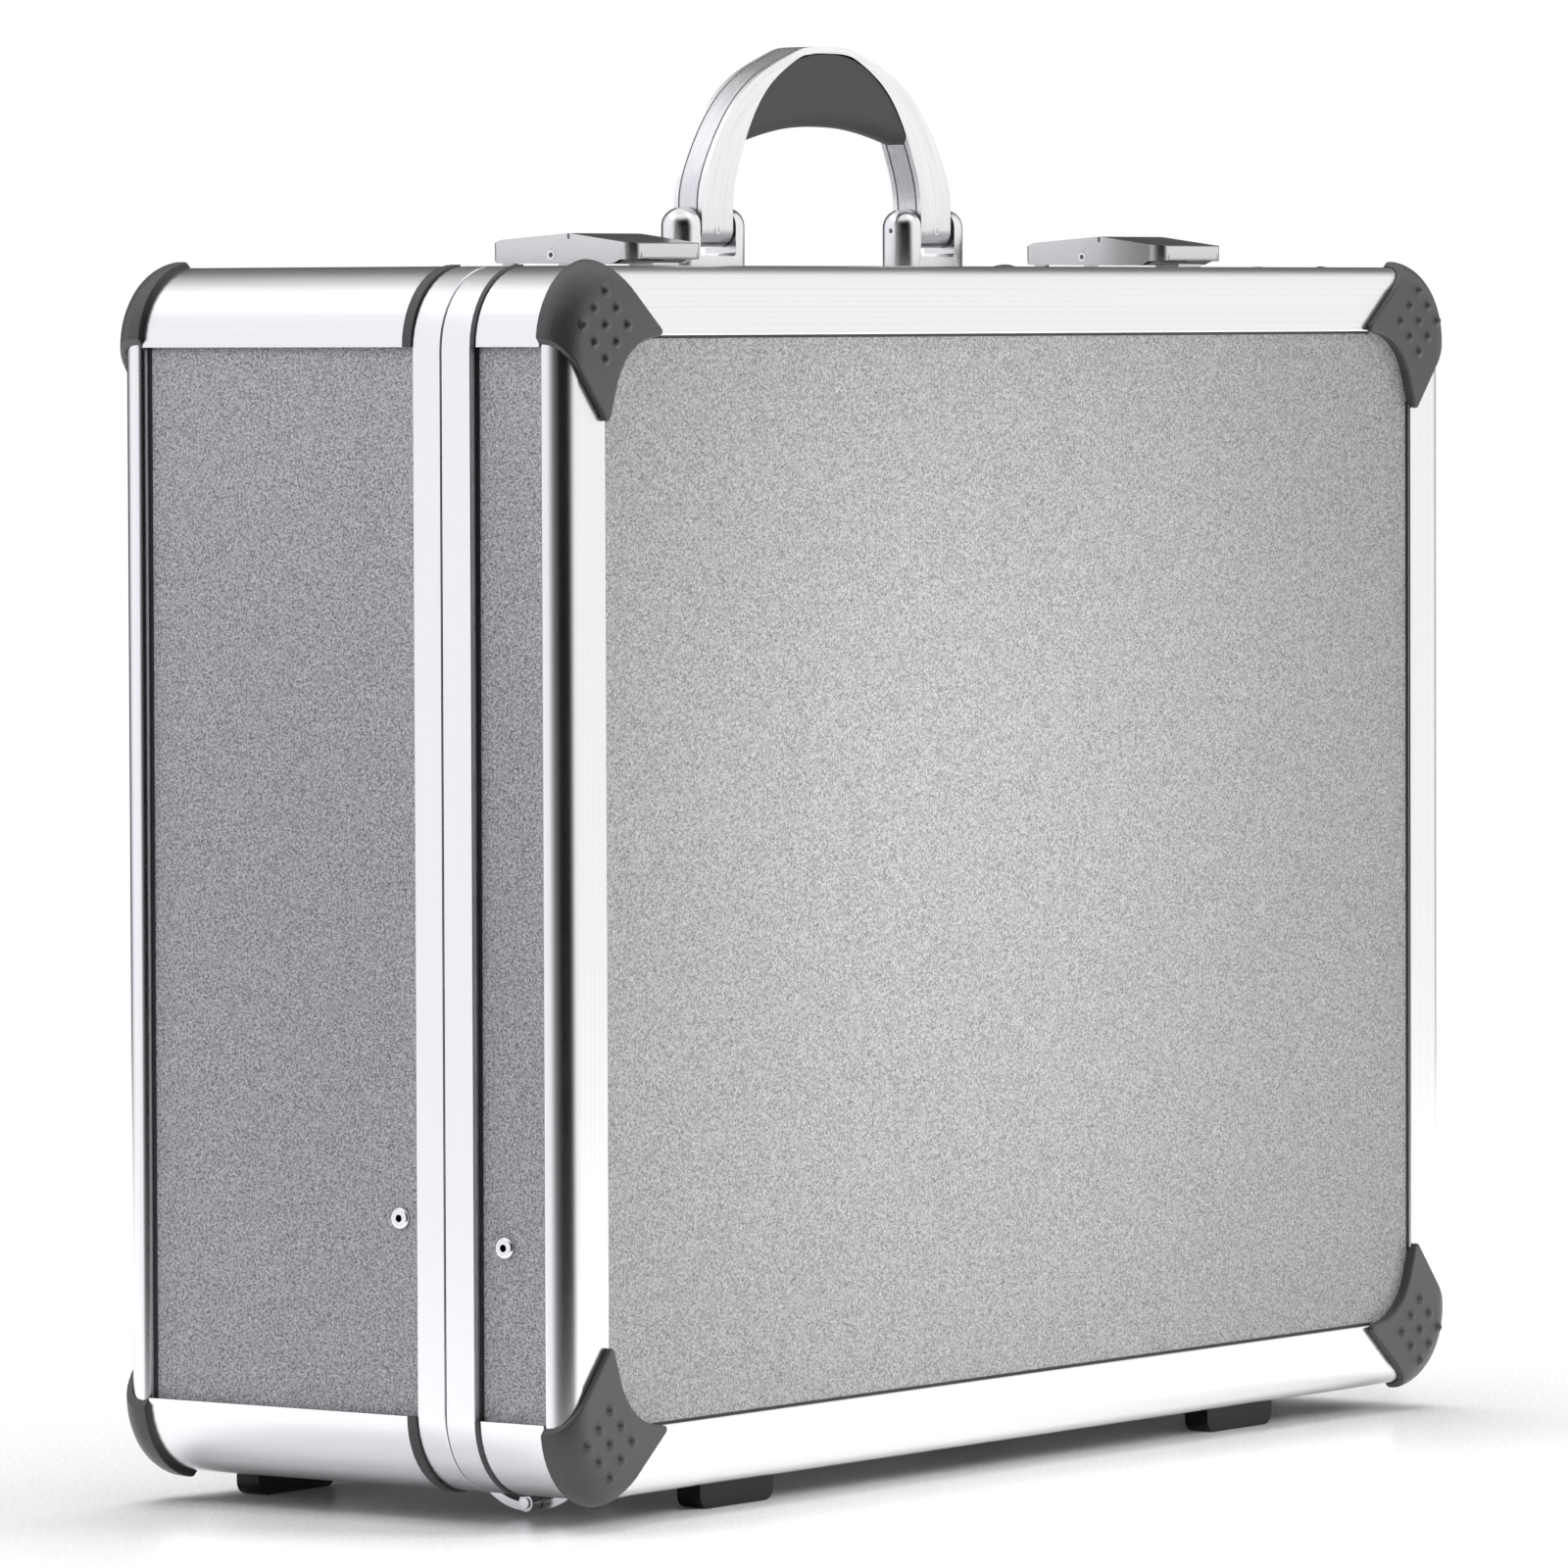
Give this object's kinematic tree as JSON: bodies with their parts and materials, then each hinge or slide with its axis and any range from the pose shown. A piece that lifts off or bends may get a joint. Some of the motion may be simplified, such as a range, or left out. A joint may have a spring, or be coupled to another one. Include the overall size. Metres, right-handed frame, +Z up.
{
  "type": "poker chip case",
  "caption": "Upright aluminium-framed carrying case with laminate panels, hinged lid, two lever latches, drop handle, corner guards and chip racks inside.",
  "frame": {"origin": "on the floor under the middle of the case's box", "axes": "+Z up, +X across the width, -Y is the lid's side, +Y the back"},
  "size_m": [0.4638, 0.1684, 0.4259],
  "materials": {
    "frame_aluminium": "satin anodised, fine extrusion grain",
    "band_aluminium": "satin anodised",
    "side_laminate": "fine pearl-grained laminate",
    "front_laminate": "fine pearl-grained laminate, slightly metallic",
    "guard_plastic": "moulded, fine matt texture",
    "collar_plastic": "moulded matt",
    "seal_rubber": "matt",
    "foot_rubber": "matt",
    "hinge_steel": "zinc plated",
    "pin_steel": "polished",
    "latch_metal": "satin nickel",
    "bracket_metal": "satin chromed die casting",
    "handle_aluminium": "satin anodised",
    "handle_core_metal": "satin",
    "grip_rubber": "grained soft grip",
    "foam": "cut foam with flocked cover",
    "rack_plastic": "flocked moulded plastic"
  },
  "bodies": {
    "body": {"back_corner_guards": "guard_plastic", "back_edge_bottom": "frame_aluminium", "back_edge_left": "frame_aluminium", "back_edge_right": "frame_aluminium", "back_edge_top": "frame_aluminium", "back_panel": "front_laminate", "body_bottom_panel": "side_laminate", "body_closure_band": "band_aluminium", "body_collars": "collar_plastic", "body_corner_profiles": "frame_aluminium", "body_left_panel": "side_laminate", "body_right_panel": "side_laminate", "body_top_panel": "side_laminate", "card_tray": "rack_plastic", "chip_rack_left": "rack_plastic", "chip_rack_right": "rack_plastic", "foam_base": "foam", "handle_bracket_screws": "hinge_steel", "handle_brackets": "bracket_metal", "handle_pins": "pin_steel", "hinge_body_leaves": "hinge_steel", "hinge_pins": "pin_steel", "latch_base_left": "hinge_steel", "latch_base_right": "hinge_steel", "latch_pivot_pins": "pin_steel", "rear_feet": "foot_rubber", "stay_body_rivets": "pin_steel"},
    "lid": {"front_corner_guards": "guard_plastic", "front_edge_bottom": "frame_aluminium", "front_edge_left": "frame_aluminium", "front_edge_right": "frame_aluminium", "front_edge_top": "frame_aluminium", "front_feet": "foot_rubber", "front_panel": "front_laminate", "hinge_lid_leaves": "hinge_steel", "latch_keepers": "hinge_steel", "lid_bottom_panel": "side_laminate", "lid_closure_band": "band_aluminium", "lid_collars": "collar_plastic", "lid_corner_profiles": "frame_aluminium", "lid_foam": "foam", "lid_left_panel": "side_laminate", "lid_right_panel": "side_laminate", "lid_seal": "seal_rubber", "lid_top_panel": "side_laminate", "stay_lid_rivets": "pin_steel"},
    "latch_lever_left": {"latch_lever_left": "latch_metal", "latch_catch_left": "hinge_steel", "latch_catch_rivet_left": "pin_steel"},
    "stay_body_link_left": {"stay_body_link_left": "hinge_steel"},
    "stay_lid_link_left": {"stay_lid_link_left": "hinge_steel"},
    "latch_lever_right": {"latch_lever_right": "latch_metal", "latch_catch_right": "hinge_steel", "latch_catch_rivet_right": "pin_steel"},
    "stay_body_link_right": {"stay_body_link_right": "hinge_steel"},
    "stay_lid_link_right": {"stay_lid_link_right": "hinge_steel"},
    "handle": {"handle_core": "handle_core_metal", "handle_side_plates": "handle_aluminium", "handle_grip": "grip_rubber"}
  },
  "joints": [
    {"name": "lid_hinge", "type": "hinge", "parent": "body", "child": "lid", "pos_m": [0, -0.0375, 0.0039], "axis": [1, 0, 0], "range_deg": [0, 95]},
    {"name": "latch_left", "type": "hinge", "parent": "body", "child": "latch_lever_left", "pos_m": [-0.1362, -0.0012, 0.3633], "axis": [-1, 0, 0], "range_deg": [0, 80]},
    {"name": "latch_right", "type": "hinge", "parent": "body", "child": "latch_lever_right", "pos_m": [0.1362, -0.0012, 0.3633], "axis": [-1, 0, 0], "range_deg": [0, 80]},
    {"name": "handle_pivot", "type": "hinge", "parent": "body", "child": "handle", "pos_m": [0, -0.0024, 0.3706], "axis": [1, 0, 0], "range_deg": [-90, 90]},
    {"name": "stay_body_left", "type": "hinge", "parent": "body", "child": "stay_body_link_left", "pos_m": [-0.22, -0.0193, 0.0876], "axis": [1, 0, 0], "range_deg": [0, 95.5]},
    {"name": "stay_lid_left", "type": "hinge", "parent": "lid", "child": "stay_lid_link_left", "pos_m": [-0.22, -0.0568, 0.0808], "axis": [-1, 0, 0], "range_deg": [0, 95.5]},
    {"name": "stay_body_right", "type": "hinge", "parent": "body", "child": "stay_body_link_right", "pos_m": [0.22, -0.0193, 0.0876], "axis": [1, 0, 0], "range_deg": [0, 95.5]},
    {"name": "stay_lid_right", "type": "hinge", "parent": "lid", "child": "stay_lid_link_right", "pos_m": [0.22, -0.0568, 0.0808], "axis": [-1, 0, 0], "range_deg": [0, 95.5]}
  ],
  "couplings": [
    {"joint": "stay_body_left", "follows": "lid_hinge", "ratio": 1},
    {"joint": "stay_lid_left", "follows": "lid_hinge", "ratio": 1},
    {"joint": "stay_body_right", "follows": "lid_hinge", "ratio": 1},
    {"joint": "stay_lid_right", "follows": "lid_hinge", "ratio": 1}
  ]
}
